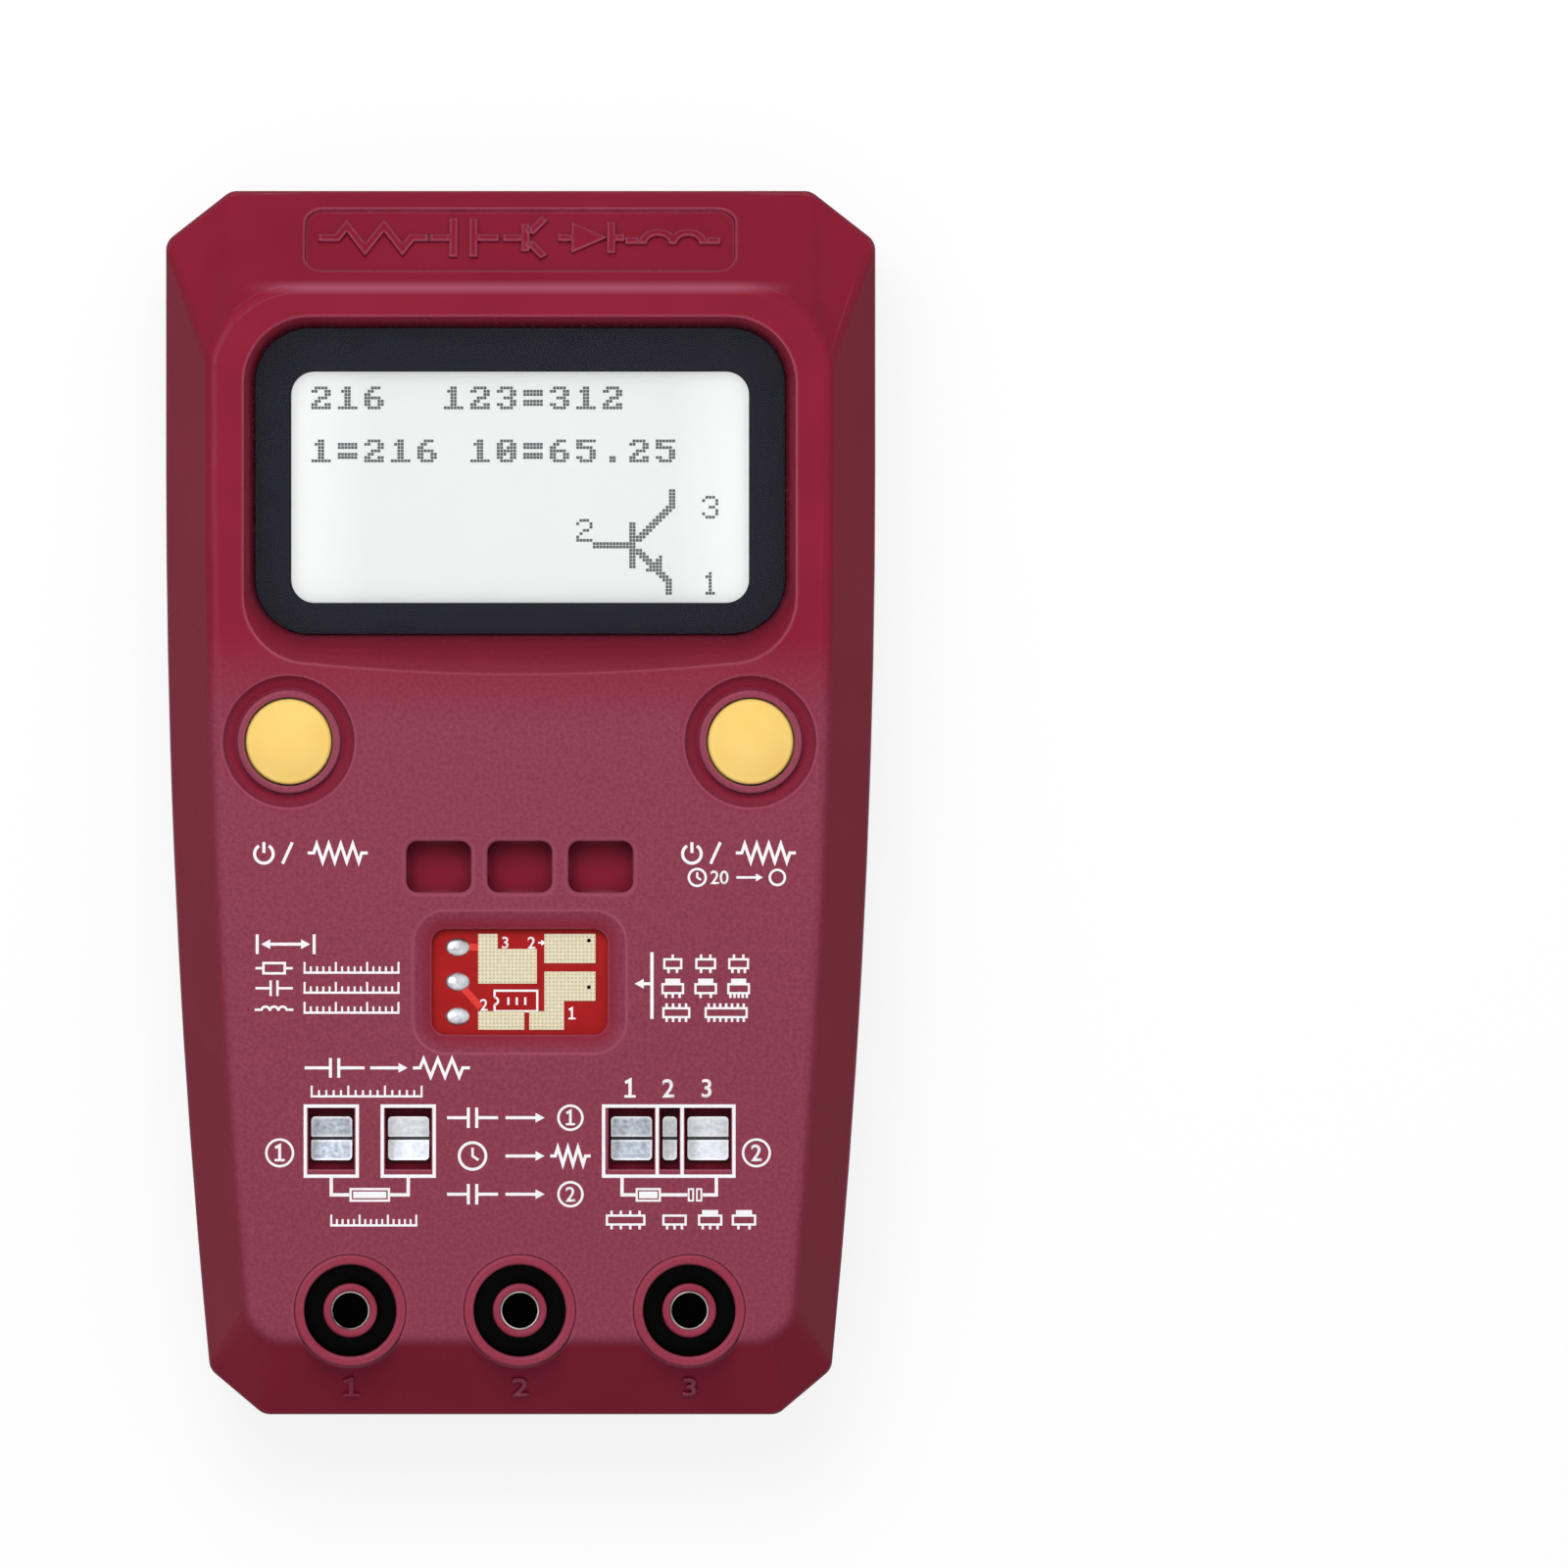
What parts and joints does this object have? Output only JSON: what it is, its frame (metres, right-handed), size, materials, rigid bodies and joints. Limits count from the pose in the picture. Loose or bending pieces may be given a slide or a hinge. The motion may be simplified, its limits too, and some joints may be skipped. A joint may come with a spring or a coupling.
{
  "type": "component tester",
  "caption": "Handheld electronic component tester with a display, push buttons, parts trays, spring-contact test ports, a pad board for surface-mount parts and plug jacks.",
  "frame": {"origin": "under the middle of the case, on the flat back that the tester lies on", "axes": "+X to the right of the display, +Y to the display end, +Z out of the face"},
  "size_m": [0.08, 0.138, 0.0327],
  "materials": {
    "case_plastic": "satin moulded ABS",
    "button_plastic": "satin moulded",
    "lens_acrylic": "clear polished acrylic",
    "mask_ink": "printed black",
    "display_glass": "pale display",
    "backlight_plastic": "white diffuser",
    "tinned_pins": "tinned",
    "switch_plastic": "moulded",
    "board_laminate": "solder mask",
    "small_board_laminate": "red solder mask",
    "tinned_pads": "levelled solder",
    "spring_contact": "bright nickel plate",
    "jack_nickel": "nickel plated brass",
    "chip_epoxy": "moulded epoxy",
    "crystal_can": "drawn can",
    "resistor_lacquer": "lacquered",
    "capacitor_sleeve": "sleeved",
    "battery_jacket": "plain printed jacket",
    "snap_plastic": "moulded",
    "lead_red": "soft insulation",
    "lead_black": "soft insulation",
    "screw_steel": "zinc plated"
  },
  "bodies": {
    "housing": {"front_cover": "case_plastic", "rear_cover": "case_plastic", "window_lens": "lens_acrylic", "window_mask": "mask_ink", "lcd_glass": "display_glass", "lcd_backlight": "backlight_plastic", "lcd_pins": "tinned_pins", "switch_body_left": "switch_plastic", "switch_body_right": "switch_plastic", "main_board": "board_laminate", "smd_board": "small_board_laminate", "smd_pins": "tinned_pins", "smd_pads": "tinned_pads", "discharge_contact_left": "spring_contact", "discharge_contact_right": "spring_contact", "test_contact_1": "spring_contact", "test_contact_2": "spring_contact", "test_contact_3": "spring_contact", "jack_socket_1": "case_plastic", "jack_socket_2": "case_plastic", "jack_socket_3": "case_plastic", "jack_contact_1": "jack_nickel", "jack_contact_2": "jack_nickel", "jack_contact_3": "jack_nickel", "microcontroller": "chip_epoxy", "crystal": "crystal_can", "regulator": "chip_epoxy", "discharge_resistor": "resistor_lacquer", "filter_capacitor": "capacitor_sleeve", "battery": "battery_jacket", "battery_terminals": "tinned_pins", "battery_snap": "snap_plastic", "snap_lead_red": "lead_red", "snap_lead_black": "lead_black", "case_screws": "screw_steel", "board_screws": "screw_steel"},
    "left_button": {"button_cap_left": "button_plastic", "switch_stem_left": "switch_plastic"},
    "right_button": {"button_cap_right": "button_plastic", "switch_stem_right": "switch_plastic"},
    "battery_door": {"battery_door": "case_plastic"}
  },
  "joints": [
    {"name": "left_button_press", "type": "slide", "parent": "housing", "child": "left_button", "axis": [0, 0, 1], "range_m": [-0.0004, 0], "stiffness_N_per_m": 1000},
    {"name": "right_button_press", "type": "slide", "parent": "housing", "child": "right_button", "axis": [0, 0, 1], "range_m": [-0.0004, 0], "stiffness_N_per_m": 1000},
    {"name": "battery_door_slide", "type": "slide", "parent": "housing", "child": "battery_door", "axis": [0, 1, 0], "range_m": [0, 0.05]}
  ]
}
